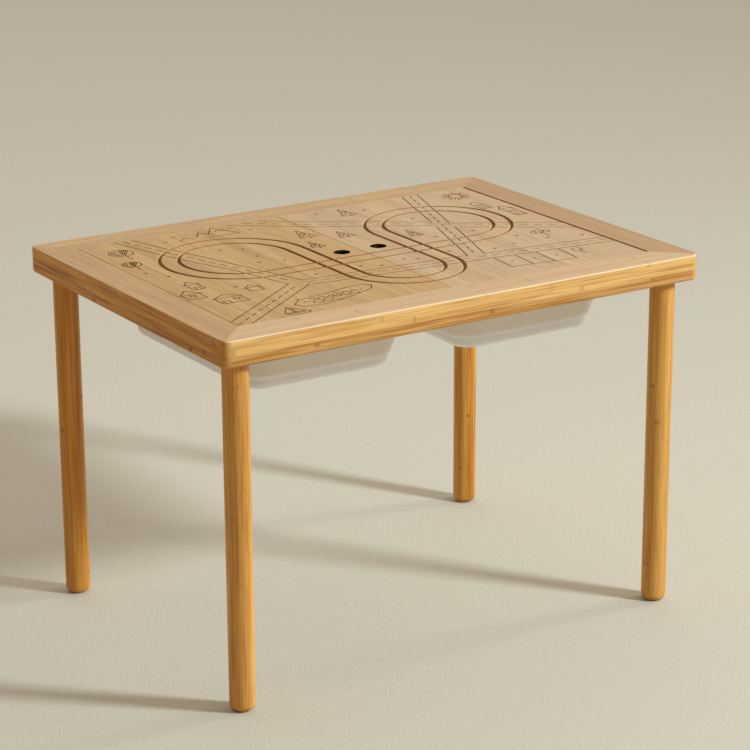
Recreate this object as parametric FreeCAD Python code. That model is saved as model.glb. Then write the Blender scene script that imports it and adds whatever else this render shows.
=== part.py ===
"""Kids' activity table: a mitred bamboo frame on four round screw-in legs, with two lift-out boards
that carry a routed wooden-train track, over two drop-in plastic trays.

Millimetres, +Z up. The origin is on the floor under the middle of the table. +X runs along the
table's length to the right, and -Y is the front.
"""

import FreeCAD
import Part
import math
import os

Vector = FreeCAD.Vector

# Overall sizes
TABLE_LENGTH = 730.0
TABLE_WIDTH = 536.0
TABLE_HEIGHT = 500.0

# Mitred frame
RAIL_WIDTH = 49.0  # seen from above, outer face to board
RAIL_HEIGHT = 36.0
SHOULDER = 10.0  # the boards rest on this step inside the frame
CORNER_RADIUS = 12.5
TOP_ROUNDING = 2.0
BOTTOM_ROUNDING = 5.5

# Lift-out boards
BOARD_THICKNESS = 12.0
BOARD_SIDE_GAP = 0.5  # along the front, the back, the left end and the seam
BOARD_END_GAP = 4.0  # at the right end
BOARD_EDGE_CHAMFER = 0.4
FINGER_HOLE_DIAMETER = 23.0
FINGER_HOLE_X = 29.0
FINGER_HOLE_Y = 5.0

# Train track, two grooves side by side
GROOVE_WIDTH = 5.8
GROOVE_DEPTH = 3.0
GROOVE_SPACING = 25.5  # centre to centre
LOOP_RADIUS = 90.0  # to the middle between the two grooves
LOOP_X = 161.5
LOOP_Y = 57.0
TURN_Y = -96.0  # centre of the U-turn that joins the two loops

# Centre rail and ledges
CENTRE_RAIL_WIDTH = 30.0
LEDGE_HEIGHT = 12.0
TRAY_TO_LEDGE_GAP = 2.0

# Trays: the body's outline is stated at its shoulder, the top of the rounded base
TRAY_X = 160.5
TRAY_BASE_Z = 389.0
TRAY_BASE_ROUNDING = 12.0
TRAY_SHOULDER_HALF_X = 110.5
TRAY_SHOULDER_HALF_Y = 165.0
TRAY_SHOULDER_CORNER = 32.0
TRAY_RIM_CORNER = 44.0
TRAY_DRAFT_DEGREES = 16.4
TRAY_WALL = 2.5
TRAY_STEP = 1.2  # the lower pan is set in by this much
TRAY_STEP_HEIGHT = 17.0
TRAY_STEP_SLOPE_HEIGHT = 1.5
TRAY_FLANGE_HALF_X = 144.5
TRAY_FLANGE_HALF_Y = 207.5
TRAY_FLANGE_CORNER = 30.0
TRAY_FLANGE_THICKNESS = 2.5
TRAY_FLANGE_ROUNDING = 1.2

# Legs and their hardware
LEG_DIAMETER = 34.0
LEG_INSET = 35.0  # leg's axis from each outer face of the frame
FOOT_ROUNDING = 9.0
LEG_TOP_CHAMFER = 0.8
BOLT_DIAMETER = 8.0
BOLT_IN_LEG = 42.0
BOLT_IN_FRAME = 18.0
BOLT_COLLAR = 4.0
BOLT_PITCH = 2.0
WOOD_THREAD_DEPTH = 1.0
MACHINE_THREAD_DEPTH = 0.6
INSERT_DIAMETER = 13.0
INSERT_LENGTH = 20.0
INSERT_RIDGE_PITCH = 4.0
INSERT_RIDGE_DEPTH = 0.8
HARDWARE_CLEARANCE = 0.05  # radial, round each bolt, insert, dowel and screw
HOLE_END_ROOM = 0.5  # a blind hole is this much deeper than what it holds

# Dowels and screws
DOWEL_DIAMETER = 8.0
DOWEL_LENGTH = 30.0
DOWEL_CHAMFER = 1.0
DOWEL_Z = TABLE_HEIGHT - RAIL_HEIGHT + 14.0
MITRE_DOWEL_DISTANCES = (30.0, 72.0)  # from the outer corner, along the mitre
CENTRE_DOWEL_X = 8.0
SCREW_DIAMETER = 3.5
SCREW_HEAD_DIAMETER = 7.0
SCREW_HEAD_DEPTH = 3.0
SCREW_HEAD_CLEARANCE = 0.3
SCREW_LENGTH = 30.0
SCREW_THREAD_LENGTH = 12.0
SCREW_TIP_LENGTH = 2.0
SCREW_PITCH = 1.5
SCREW_THREAD_DEPTH = 0.55
SCREW_DRIVE_RADIUS = 1.2
SCREW_DRIVE_DEPTH = 1.6
SCREW_END_MARGIN = 35.0
CENTRE_SCREW_STAGGER = 20.0  # keeps the screws from the two sides of the centre rail apart

# Worked out from the sizes above
HALF_LENGTH = TABLE_LENGTH / 2
HALF_WIDTH = TABLE_WIDTH / 2
FRAME_BOTTOM = TABLE_HEIGHT - RAIL_HEIGHT
BOARD_BOTTOM = TABLE_HEIGHT - BOARD_THICKNESS
OPENING_HALF_X = HALF_LENGTH - RAIL_WIDTH
OPENING_HALF_Y = HALF_WIDTH - RAIL_WIDTH
WELL_HALF_X = OPENING_HALF_X - SHOULDER
WELL_HALF_Y = OPENING_HALF_Y - SHOULDER
LEDGE_TOP = FRAME_BOTTOM + LEDGE_HEIGHT
BOARD_LENGTH_X = (2 * OPENING_HALF_X - 2 * BOARD_SIDE_GAP - BOARD_END_GAP) / 2
BOARD_HALF_Y = OPENING_HALF_Y - BOARD_SIDE_GAP
LEFT_BOARD_X = -OPENING_HALF_X + BOARD_SIDE_GAP
RIGHT_BOARD_X = LEFT_BOARD_X + BOARD_LENGTH_X + BOARD_SIDE_GAP
LEG_X = HALF_LENGTH - LEG_INSET
LEG_Y = HALF_WIDTH - LEG_INSET
CENTRE_FACE = CENTRE_RAIL_WIDTH / 2
TRAY_SHOULDER_Z = TRAY_BASE_Z + TRAY_BASE_ROUNDING
TRAY_RIM_Z = LEDGE_TOP + TRAY_FLANGE_THICKNESS
TRAY_SLOPE = math.tan(math.radians(TRAY_DRAFT_DEGREES))
TRAY_GROWTH_TO_LEDGE = (LEDGE_TOP - TRAY_SHOULDER_Z) * TRAY_SLOPE
LEDGE_REACH_X = TRAY_SHOULDER_HALF_X + TRAY_GROWTH_TO_LEDGE + TRAY_TO_LEDGE_GAP
LEDGE_NEAR_X = TRAY_X - LEDGE_REACH_X
LEDGE_FAR_X = TRAY_X + LEDGE_REACH_X
LEDGE_INNER_Y = TRAY_SHOULDER_HALF_Y + TRAY_GROWTH_TO_LEDGE + TRAY_TO_LEDGE_GAP

CORNERS = {
    "front_left": (-1, -1),
    "front_right": (1, -1),
    "back_left": (-1, 1),
    "back_right": (1, 1),
}


def box(low, high):
    """A box between two opposite corners."""
    size = [b - a for a, b in zip(low, high)]
    return Part.makeBox(*size, Vector(*low))


def cylinder(radius, start, end):
    """A cylinder between two points on its axis."""
    axis = Vector(*end) - Vector(*start)
    return Part.makeCylinder(radius, axis.Length, Vector(*start), axis)


def prism(points, low_z, high_z):
    """An upright prism over a polygon of (x, y) points."""
    corners = [Vector(x, y, low_z) for x, y in points]
    outline = Part.makePolygon(corners + corners[:1])
    return Part.Face(outline).extrude(Vector(0, 0, high_z - low_z))


def join(shapes):
    """The shapes fused into one."""
    first, *others = shapes
    return first.fuse(others) if others else first


def edges_where(shape, test):
    """The shape's edges whose two ends and middle all pass the test."""
    found = []
    for edge in shape.Edges:
        first, last = edge.ParameterRange
        points = [edge.valueAt(first + (last - first) * share) for share in (0.0, 0.5, 1.0)]
        if all(test(point) for point in points):
            found.append(edge)
    return found


def at_height(z):
    """A test for points at that height."""
    return lambda point: abs(point.z - z) < 1e-6


# ---------------------------------------------------------------- fasteners


def ridged_rod(radius, root_radius, length, pitch):
    """A rod along +Z from the origin with ring ridges in place of a helical thread."""
    points = [Vector(0, 0, 0), Vector(root_radius, 0, 0)]
    for turn in range(int(length / pitch)):
        base = turn * pitch
        points.append(Vector(radius, 0, base + 0.5 * pitch))
        points.append(Vector(root_radius, 0, base + pitch))
    points.append(Vector(root_radius, 0, length))
    points.append(Vector(0, 0, length))
    kept = [points[0]]
    for point in points[1:]:
        if (point - kept[-1]).Length > 1e-6:
            kept.append(point)
    outline = Part.makePolygon(kept + kept[:1])
    return Part.Face(outline).revolve(Vector(0, 0, 0), Vector(0, 0, 1), 360)


def placed(shape, origin, direction):
    """The shape moved so that its +Z points along direction from origin."""
    turned = shape.copy()
    turned.Placement = FreeCAD.Placement(Vector(*origin), FreeCAD.Rotation(Vector(0, 0, 1), direction))
    return turned


def wood_screw():
    """A countersunk screw along +Z, with the top of its head at the origin."""
    radius = SCREW_DIAMETER / 2
    root = radius - SCREW_THREAD_DEPTH
    tip_z = SCREW_LENGTH - SCREW_TIP_LENGTH
    thread_z = tip_z - SCREW_THREAD_LENGTH
    head = Part.makeCone(SCREW_HEAD_DIAMETER / 2, root, SCREW_HEAD_DEPTH)
    drive = Part.makeCylinder(SCREW_DRIVE_RADIUS, SCREW_DRIVE_DEPTH)
    shank = cylinder(root, (0, 0, SCREW_HEAD_DEPTH), (0, 0, thread_z))
    thread = ridged_rod(radius, root, SCREW_THREAD_LENGTH, SCREW_PITCH)
    thread.translate(Vector(0, 0, thread_z))
    tip = Part.makeCone(root, 0.2, SCREW_TIP_LENGTH, Vector(0, 0, tip_z))
    return join([head, shank, thread, tip]).cut(drive).removeSplitter()


def screw_hole():
    """The space that a wood screw takes, with its clearance."""
    radius = SCREW_DIAMETER / 2 + HARDWARE_CLEARANCE
    head_radius = SCREW_HEAD_DIAMETER / 2 + SCREW_HEAD_CLEARANCE
    sink = Part.makeCone(head_radius, radius, SCREW_HEAD_DEPTH)
    shaft = Part.makeCylinder(radius, SCREW_LENGTH + HOLE_END_ROOM)
    return join([sink, shaft])


def dowel(middle, direction):
    """A glued dowel with chamfered ends, along direction about its middle."""
    half = Vector(direction).normalize().multiply(DOWEL_LENGTH / 2)
    rod = cylinder(DOWEL_DIAMETER / 2, Vector(*middle) - half, Vector(*middle) + half)
    ends = [edge for edge in rod.Edges if isinstance(edge.Curve, Part.Circle)]
    return rod.makeChamfer(DOWEL_CHAMFER, ends)


def dowel_hole(middle, direction):
    """The space that a dowel takes, with its clearance."""
    half = Vector(direction).normalize().multiply(DOWEL_LENGTH / 2 + HOLE_END_ROOM)
    radius = DOWEL_DIAMETER / 2 + HARDWARE_CLEARANCE
    return cylinder(radius, Vector(*middle) - half, Vector(*middle) + half)


def mitre_dowel_places():
    """Middle and direction of each dowel that crosses a mitre."""
    places = []
    for side_x, side_y in CORNERS.values():
        for distance in MITRE_DOWEL_DISTANCES:
            step = distance / math.sqrt(2)
            middle = (side_x * (HALF_LENGTH - step), side_y * (HALF_WIDTH - step), DOWEL_Z)
            places.append((middle, Vector(side_x, -side_y, 0)))
    return places


def centre_dowel_places():
    """Middle and direction of each dowel at the centre rail's ends."""
    return [
        ((side_x * CENTRE_DOWEL_X, side_y * WELL_HALF_Y, DOWEL_Z), Vector(0, 1, 0))
        for side_x in (-1, 1)
        for side_y in (-1, 1)
    ]


# ---------------------------------------------------------------- frame


def frame_ring():
    """The whole mitred frame before it is split into its four rails."""
    ring = box((-HALF_LENGTH, -HALF_WIDTH, FRAME_BOTTOM), (HALF_LENGTH, HALF_WIDTH, TABLE_HEIGHT))
    upright = [
        edge
        for edge in ring.Edges
        if abs(edge.Vertexes[0].Point.z - edge.Vertexes[-1].Point.z) > RAIL_HEIGHT / 2
    ]
    ring = ring.makeFillet(CORNER_RADIUS, upright)
    ring = ring.makeFillet(BOTTOM_ROUNDING, edges_where(ring, at_height(FRAME_BOTTOM)))
    ring = ring.makeFillet(TOP_ROUNDING, edges_where(ring, at_height(TABLE_HEIGHT)))
    opening = box(
        (-OPENING_HALF_X, -OPENING_HALF_Y, BOARD_BOTTOM),
        (OPENING_HALF_X, OPENING_HALF_Y, TABLE_HEIGHT + 1),
    )
    well = box((-WELL_HALF_X, -WELL_HALF_Y, FRAME_BOTTOM - 1), (WELL_HALF_X, WELL_HALF_Y, TABLE_HEIGHT))
    return ring.cut([opening, well])


def leg_insert_hole(side_x, side_y):
    """The hole in the frame's underside for a leg's threaded insert."""
    x, y = side_x * LEG_X, side_y * LEG_Y
    radius = INSERT_DIAMETER / 2 + HARDWARE_CLEARANCE
    top_z = FRAME_BOTTOM + INSERT_LENGTH + HOLE_END_ROOM
    return cylinder(radius, (x, y, FRAME_BOTTOM - 1), (x, y, top_z))


def rail_wedges():
    """One upright wedge per rail, split from its neighbours along the mitres."""
    spare = 20.0
    depth = RAIL_WIDTH + SHOULDER
    outer = {}
    inner = {}
    for name, (side_x, side_y) in CORNERS.items():
        outer[name] = (side_x * (HALF_LENGTH + spare), side_y * (HALF_WIDTH + spare))
        inner[name] = (side_x * (HALF_LENGTH - depth - spare), side_y * (HALF_WIDTH - depth - spare))
    sides = {
        "front_rail": ("front_left", "front_right"),
        "back_rail": ("back_right", "back_left"),
        "left_end_rail": ("back_left", "front_left"),
        "right_end_rail": ("front_right", "back_right"),
    }
    wedges = {}
    for name, (start, end) in sides.items():
        outline = [outer[start], outer[end], inner[end], inner[start]]
        wedges[name] = prism(outline, FRAME_BOTTOM - spare, TABLE_HEIGHT + spare)
    return wedges


def rails(screw_holes):
    """The four mitred rails, drilled for inserts, dowels and ledge screws."""
    drilled = frame_ring()
    holes = [leg_insert_hole(*corner) for corner in CORNERS.values()]
    holes += [dowel_hole(*place) for place in mitre_dowel_places() + centre_dowel_places()]
    drilled = drilled.cut(holes + screw_holes)
    return {name: drilled.common(wedge) for name, wedge in rail_wedges().items()}


def centre_rail(screw_holes):
    """The cross rail under the seam, which carries both boards' inner edges."""
    rail = box((-CENTRE_FACE, -WELL_HALF_Y, FRAME_BOTTOM), (CENTRE_FACE, WELL_HALF_Y, BOARD_BOTTOM))
    return rail.cut([dowel_hole(*place) for place in centre_dowel_places()] + screw_holes)


# ---------------------------------------------------------------- ledges


def ledge_boxes():
    """Low and high corner of each strip that carries a tray's flange."""
    right = {
        "front_ledge": ((CENTRE_FACE, -WELL_HALF_Y), (WELL_HALF_X, -LEDGE_INNER_Y)),
        "back_ledge": ((CENTRE_FACE, LEDGE_INNER_Y), (WELL_HALF_X, WELL_HALF_Y)),
        "end_ledge": ((LEDGE_FAR_X, -LEDGE_INNER_Y), (WELL_HALF_X, LEDGE_INNER_Y)),
        "centre_ledge": ((CENTRE_FACE, -LEDGE_INNER_Y), (LEDGE_NEAR_X, LEDGE_INNER_Y)),
    }
    boxes = {}
    for name, ((low_x, low_y), (high_x, high_y)) in right.items():
        boxes[name + "_right"] = ((low_x, low_y, FRAME_BOTTOM), (high_x, high_y, LEDGE_TOP))
        boxes[name + "_left"] = ((-high_x, low_y, FRAME_BOTTOM), (-low_x, high_y, LEDGE_TOP))
    return boxes


def ledge_screw_places():
    """Each ledge's screws: where the head sits, and which way the screw points."""
    z = FRAME_BOTTOM + LEDGE_HEIGHT / 2
    near_x = CENTRE_FACE + SCREW_END_MARGIN
    far_x = WELL_HALF_X - SCREW_END_MARGIN
    reach_y = LEDGE_INNER_Y - SCREW_END_MARGIN
    places = {}
    for side, name in ((-1, "left"), (1, "right")):
        along_x = [side * x for x in (near_x, (near_x + far_x) / 2, far_x)]
        along_y = [-reach_y, 0.0, reach_y]
        stagger = side * CENTRE_SCREW_STAGGER
        places["front_ledge_" + name] = [((x, -LEDGE_INNER_Y, z), Vector(0, -1, 0)) for x in along_x]
        places["back_ledge_" + name] = [((x, LEDGE_INNER_Y, z), Vector(0, 1, 0)) for x in along_x]
        places["end_ledge_" + name] = [((side * LEDGE_FAR_X, y, z), Vector(side, 0, 0)) for y in along_y]
        places["centre_ledge_" + name] = [
            ((side * LEDGE_NEAR_X, y + stagger, z), Vector(-side, 0, 0)) for y in along_y
        ]
    return places


# ---------------------------------------------------------------- boards


def groove_ring(centre_x, centre_y, radius, first_degrees, sweep_degrees):
    """A curved stretch of groove, cut down from the table's top."""
    base = Vector(centre_x, centre_y, TABLE_HEIGHT - GROOVE_DEPTH)
    height = GROOVE_DEPTH + 1.0
    outer = Part.makeCylinder(radius + GROOVE_WIDTH / 2, height, base, Vector(0, 0, 1), sweep_degrees)
    inner = Part.makeCylinder(radius - GROOVE_WIDTH / 2, height, base, Vector(0, 0, 1))
    ring = outer.cut(inner)
    ring.rotate(base, Vector(0, 0, 1), first_degrees)
    return ring


def groove_line(low, high):
    """A straight stretch of groove between two points on its middle line."""
    half = GROOVE_WIDTH / 2
    along_x = abs(high[0] - low[0]) > abs(high[1] - low[1])
    grow_x, grow_y = (0.0, half) if along_x else (half, 0.0)
    return box(
        (low[0] - grow_x, low[1] - grow_y, TABLE_HEIGHT - GROOVE_DEPTH),
        (high[0] + grow_x, high[1] + grow_y, TABLE_HEIGHT + 1.0),
    )


def track_grooves():
    """The two grooves of the closed train circuit: two loops, a crossing straight and a U-turn."""
    stretches = []
    crossing_y = LOOP_Y - LOOP_RADIUS
    upright_x = LOOP_X - LOOP_RADIUS
    for offset in (-GROOVE_SPACING / 2, GROOVE_SPACING / 2):
        stretches.append(groove_ring(-LOOP_X, LOOP_Y, LOOP_RADIUS + offset, 0, 270))
        stretches.append(groove_ring(LOOP_X, LOOP_Y, LOOP_RADIUS + offset, -90, 270))
        stretches.append(groove_ring(0, TURN_Y, upright_x + offset, 180, 180))
        stretches.append(groove_line((-LOOP_X, crossing_y + offset), (LOOP_X, crossing_y + offset)))
        for side in (-1, 1):
            x = side * upright_x + offset
            stretches.append(groove_line((x, TURN_Y), (x, LOOP_Y)))
    return stretches


def board(low_x, hole_x, grooves):
    """One lift-out board with its share of the track and its finger hole."""
    blank = box(
        (low_x, -BOARD_HALF_Y, BOARD_BOTTOM),
        (low_x + BOARD_LENGTH_X, BOARD_HALF_Y, TABLE_HEIGHT),
    )
    rims = edges_where(blank, at_height(TABLE_HEIGHT)) + edges_where(blank, at_height(BOARD_BOTTOM))
    blank = blank.makeChamfer(BOARD_EDGE_CHAMFER, rims)
    hole = cylinder(
        FINGER_HOLE_DIAMETER / 2,
        (hole_x, FINGER_HOLE_Y, BOARD_BOTTOM - 1),
        (hole_x, FINGER_HOLE_Y, TABLE_HEIGHT + 1),
    )
    return blank.cut(grooves + [hole]).removeSplitter()


# ---------------------------------------------------------------- trays


def rounded_outline(half_x, half_y, radius, z):
    """A closed wire: a rectangle about the tray's middle with round corners."""
    wire_edges = []
    centres = [(half_x - radius, half_y - radius), (radius - half_x, half_y - radius),
               (radius - half_x, radius - half_y), (half_x - radius, radius - half_y)]
    for quarter, (x, y) in enumerate(centres):
        start = math.pi / 2 * quarter
        points = [
            Vector(x + radius * math.cos(a), y + radius * math.sin(a), z)
            for a in (start, start + math.pi / 4, start + math.pi / 2)
        ]
        if wire_edges:
            wire_edges.append(Part.makeLine(wire_edges[-1].valueAt(wire_edges[-1].LastParameter), points[0]))
        wire_edges.append(Part.Arc(*points).toShape())
    first = wire_edges[0].valueAt(wire_edges[0].FirstParameter)
    wire_edges.append(Part.makeLine(wire_edges[-1].valueAt(wire_edges[-1].LastParameter), first))
    return Part.Wire(wire_edges)


def tray_sections(inset):
    """(height, growth from the shoulder's outline, corner radius) up the tray's side, set in by inset."""
    rounding = TRAY_BASE_ROUNDING - inset
    sections = []
    for share in (0.0, 0.25, 0.5, 0.75, 1.0):
        angle = math.pi / 2 * share
        z = TRAY_SHOULDER_Z - rounding * math.cos(angle)
        growth = -inset - TRAY_STEP - rounding * (1 - math.sin(angle))
        sections.append((z, growth, TRAY_SHOULDER_CORNER + growth))
    step_z = TRAY_BASE_Z + TRAY_STEP_HEIGHT
    corner_growth = (TRAY_RIM_CORNER - TRAY_SHOULDER_CORNER) / (TRAY_RIM_Z - TRAY_SHOULDER_Z)
    for z, set_in in ((step_z, TRAY_STEP), (step_z + TRAY_STEP_SLOPE_HEIGHT, 0.0), (TRAY_RIM_Z, 0.0)):
        rise = z - TRAY_SHOULDER_Z
        growth = rise * TRAY_SLOPE - inset - set_in
        sections.append((z, growth, TRAY_SHOULDER_CORNER + rise * corner_growth - inset - set_in))
    return sections


def tray_body(inset):
    """A solid with the tray's tapered, rounded outside, set in by inset."""
    outlines = []
    for z, growth, corner in tray_sections(inset):
        half_x = TRAY_SHOULDER_HALF_X + growth
        half_y = TRAY_SHOULDER_HALF_Y + growth
        outlines.append(rounded_outline(half_x, half_y, corner, z))
    return Part.makeLoft(outlines, True, True)


def tray(centre_x):
    """A drop-in tray that hangs by its flange."""
    outline = rounded_outline(TRAY_FLANGE_HALF_X, TRAY_FLANGE_HALF_Y, TRAY_FLANGE_CORNER, LEDGE_TOP)
    flange = Part.Face(outline).extrude(Vector(0, 0, TRAY_FLANGE_THICKNESS))
    flange = flange.makeFillet(TRAY_FLANGE_ROUNDING, edges_where(flange, at_height(TRAY_RIM_Z)))
    shape = join([flange, tray_body(0.0)]).cut(tray_body(TRAY_WALL))
    shape.translate(Vector(centre_x, 0, 0))
    return shape


# ---------------------------------------------------------------- legs


def leg(side_x, side_y):
    """A round leg, rounded at the foot and drilled for its bolt."""
    x, y = side_x * LEG_X, side_y * LEG_Y
    body = cylinder(LEG_DIAMETER / 2, (x, y, 0), (x, y, FRAME_BOTTOM))
    body = body.makeFillet(FOOT_ROUNDING, edges_where(body, at_height(0)))
    body = body.makeChamfer(LEG_TOP_CHAMFER, edges_where(body, at_height(FRAME_BOTTOM)))
    hole_radius = BOLT_DIAMETER / 2 + HARDWARE_CLEARANCE
    hole_z = FRAME_BOTTOM - BOLT_IN_LEG - HOLE_END_ROOM
    return body.cut(cylinder(hole_radius, (x, y, hole_z), (x, y, FRAME_BOTTOM + 1)))


def leg_bolt(side_x, side_y):
    """The hanger bolt that joins a leg to the frame."""
    x, y = side_x * LEG_X, side_y * LEG_Y
    radius = BOLT_DIAMETER / 2
    collar_z = FRAME_BOTTOM - BOLT_COLLAR
    wood_end = ridged_rod(radius, radius - WOOD_THREAD_DEPTH, BOLT_IN_LEG - BOLT_COLLAR, BOLT_PITCH)
    wood_end.translate(Vector(x, y, FRAME_BOTTOM - BOLT_IN_LEG))
    collar = cylinder(radius, (x, y, collar_z), (x, y, FRAME_BOTTOM))
    machine_end = ridged_rod(radius, radius - MACHINE_THREAD_DEPTH, BOLT_IN_FRAME, BOLT_PITCH)
    machine_end.translate(Vector(x, y, FRAME_BOTTOM))
    return join([wood_end, collar, machine_end]).removeSplitter()


def leg_insert(side_x, side_y):
    """The threaded insert in the frame's underside that takes a leg's bolt."""
    x, y = side_x * LEG_X, side_y * LEG_Y
    radius = INSERT_DIAMETER / 2
    shell = ridged_rod(radius, radius - INSERT_RIDGE_DEPTH, INSERT_LENGTH, INSERT_RIDGE_PITCH)
    shell.translate(Vector(x, y, FRAME_BOTTOM))
    bore_radius = BOLT_DIAMETER / 2 + HARDWARE_CLEARANCE
    bore_top = FRAME_BOTTOM + INSERT_LENGTH + 1
    return shell.cut(cylinder(bore_radius, (x, y, FRAME_BOTTOM - 1), (x, y, bore_top)))


# ---------------------------------------------------------------- assembly


def build():
    """Every sub-part, by node name."""
    screw_places = ledge_screw_places()
    all_screws = [place for places in screw_places.values() for place in places]
    screw_holes = {
        name: [placed(screw_hole(), *place) for place in places] for name, places in screw_places.items()
    }
    every_hole = [hole for holes in screw_holes.values() for hole in holes]
    nodes = rails(every_hole)
    nodes["centre_rail"] = centre_rail(every_hole)
    for name, (low, high) in ledge_boxes().items():
        nodes[name] = box(low, high).cut(screw_holes[name])
    nodes["ledge_screws"] = Part.Compound([placed(wood_screw(), *place) for place in all_screws])
    nodes["mitre_dowels"] = Part.Compound([dowel(*place) for place in mitre_dowel_places()])
    nodes["centre_rail_dowels"] = Part.Compound([dowel(*place) for place in centre_dowel_places()])
    for name, corner in CORNERS.items():
        nodes["leg_" + name] = leg(*corner)
    nodes["leg_bolts"] = Part.Compound([leg_bolt(*corner) for corner in CORNERS.values()])
    nodes["leg_inserts"] = Part.Compound([leg_insert(*corner) for corner in CORNERS.values()])
    grooves = track_grooves()
    nodes["left_board"] = board(LEFT_BOARD_X, -FINGER_HOLE_X, grooves)
    nodes["right_board"] = board(RIGHT_BOARD_X, FINGER_HOLE_X, grooves)
    nodes["left_tray"] = tray(-TRAY_X)
    nodes["right_tray"] = tray(TRAY_X)
    return nodes


def main():
    os.makedirs("parts", exist_ok=True)
    for name, shape in sorted(build().items()):
        volume = sum(solid.Volume for solid in shape.Solids)
        print(f"{name}: {len(shape.Solids)} solid(s), {volume / 1000:.1f} cm3, valid {shape.isValid()}")
        shape.exportStep(f"parts/{name}.step")


main()
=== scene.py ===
"""Looks of the kids' activity table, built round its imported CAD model.

Metres, +Z up, in the CAD's frame. Shapes are drawn in millimetres and scaled as each mesh is made.
"""

import bpy
import bmesh
import math
import numpy as np
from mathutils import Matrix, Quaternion, Vector
from mathutils.geometry import delaunay_2d_cdt


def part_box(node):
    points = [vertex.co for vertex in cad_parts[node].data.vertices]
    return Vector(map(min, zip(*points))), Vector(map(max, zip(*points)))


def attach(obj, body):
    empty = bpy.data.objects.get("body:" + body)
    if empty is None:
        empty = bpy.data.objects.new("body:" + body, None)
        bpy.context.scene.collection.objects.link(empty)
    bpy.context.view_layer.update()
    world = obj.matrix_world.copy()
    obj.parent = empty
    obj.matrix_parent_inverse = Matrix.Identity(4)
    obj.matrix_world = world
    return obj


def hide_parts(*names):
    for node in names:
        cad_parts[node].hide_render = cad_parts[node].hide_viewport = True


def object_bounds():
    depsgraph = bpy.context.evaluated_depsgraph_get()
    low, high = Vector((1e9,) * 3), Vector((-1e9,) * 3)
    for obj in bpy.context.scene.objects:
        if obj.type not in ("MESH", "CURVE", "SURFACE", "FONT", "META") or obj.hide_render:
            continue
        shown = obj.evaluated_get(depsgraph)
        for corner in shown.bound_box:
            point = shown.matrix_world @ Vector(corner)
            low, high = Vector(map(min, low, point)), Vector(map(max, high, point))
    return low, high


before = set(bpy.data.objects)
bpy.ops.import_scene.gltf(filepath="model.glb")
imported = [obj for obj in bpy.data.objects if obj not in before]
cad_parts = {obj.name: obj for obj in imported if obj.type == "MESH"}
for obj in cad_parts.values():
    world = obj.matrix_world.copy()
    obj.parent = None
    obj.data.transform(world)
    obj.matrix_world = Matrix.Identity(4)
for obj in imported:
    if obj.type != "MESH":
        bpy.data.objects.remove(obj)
cad_low, cad_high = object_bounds()

MM = 0.001
TOP_Z = cad_high.z
SMOOTH_LIMIT = math.radians(32)

# Whole table, in millimetres, from the CAD
HALF_LENGTH = cad_high.x / MM
HALF_WIDTH = cad_high.y / MM
TABLE_TOP = cad_high.z / MM
board_low, board_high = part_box("left_board")
BOARD_BOTTOM = board_low.z / MM
FRAME_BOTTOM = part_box("front_rail")[0].z / MM

# Rails
RAIL_WIDTH = 49.0
SHOULDER = 10.0
CORNER_RADIUS = 12.5
TOP_ROUNDING = 2.0
BOTTOM_ROUNDING = 5.5
INNER_EASING = 0.5
MITRE_EASING = 0.15

# Train track, two grooves side by side
GROOVE_SPACING = 25.5
LOOP_RADIUS = 90.0
LOOP_X = 161.5
LOOP_Y = 57.0
TURN_Y = -96.0
GROOVE_PROFILE = (  # distance from the middle, depth
    (0.0, 3.0),
    (1.2, 2.93),
    (1.8, 2.6),
    (2.15, 2.0),
    (2.3, 1.2),
    (2.42, 0.75),
    (2.62, 0.4),
    (2.88, 0.15),
    (3.15, 0.03),
    (3.35, 0.0),
)
LINE_PROFILE = ((0.0, 0.75), (0.45, 0.6), (0.8, 0.0))
EDGE_PROFILE = ((0.0, 0.4), (0.15, 0.14), (0.4, 0.0))
HOLE_RADIUS = 11.5
HOLE_X = 29.0
HOLE_Y = 5.0
ENGRAVED, CHARRED, GROOVED = 1, 2, 3  # material numbers on the boards
ARC_STEP = 3.0
FINE_STEP = 1.5
CLIP_MARGIN = 6.0
WELD = 1e-4

# Trays
TRAY_SHOULDER_HALF = (110.5, 165.0)
TRAY_SHOULDER_CORNER = 32.0
TRAY_RIM_CORNER = 44.0
TRAY_FLANGE_CORNER = 30.0
TRAY_FLANGE_THICKNESS = 2.5
TRAY_BASE_ROUNDING = 12.0
TRAY_DRAFT = math.tan(math.radians(16.4))
TRAY_WALL = 2.5
TRAY_STEP = 1.2
TRAY_STEP_HEIGHT = 17.0
TRAY_STEP_SLOPE_HEIGHT = 1.5
TRAY_STEP_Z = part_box("left_tray")[0].z + TRAY_STEP_HEIGHT * MM
TRAY_RIM_ROLL = ((0.9, 1.0), (1.7, 0.3), (2.9, 0.0))  # distance out, drop below the rim
TRAY_FLANGE_EDGE = (  # distance in, drop below the rim
    (1.2, 0.0),
    (0.6, 0.16),
    (0.16, 0.6),
    (0.0, 1.2),
    (0.0, 2.3),
    (0.2, TRAY_FLANGE_THICKNESS),
)
TRAY_UNDER_FLANGE = ((1.2, 0.0), (0.3, 0.4))  # distance out, drop below the flange
CORNER_STEP_SHARE = 0.12  # of a corner's radius, between points

# Legs
LEG_RADIUS = 17.0
FOOT_ROUNDING = 9.0
LEG_TOP_CHAMFER = 0.8
LEG_SIDES = 96
ROUNDING_STEPS = 8

# Laminated bamboo, in metres: width of a strip, height of a layer
FRAME_LAYERS = (0.0165, 0.0215)
BOARD_LAYERS = (0.0195, 0.02)
LEG_LAYERS = (0.017, 0.0062)
KNUCKLE_SPACING = 0.26
KNUCKLE_ROW = 0.0075

# Engraved scenery is drawn on a grid of 480 units to the table's height
SCENERY_UNIT = TABLE_TOP / 480

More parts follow.
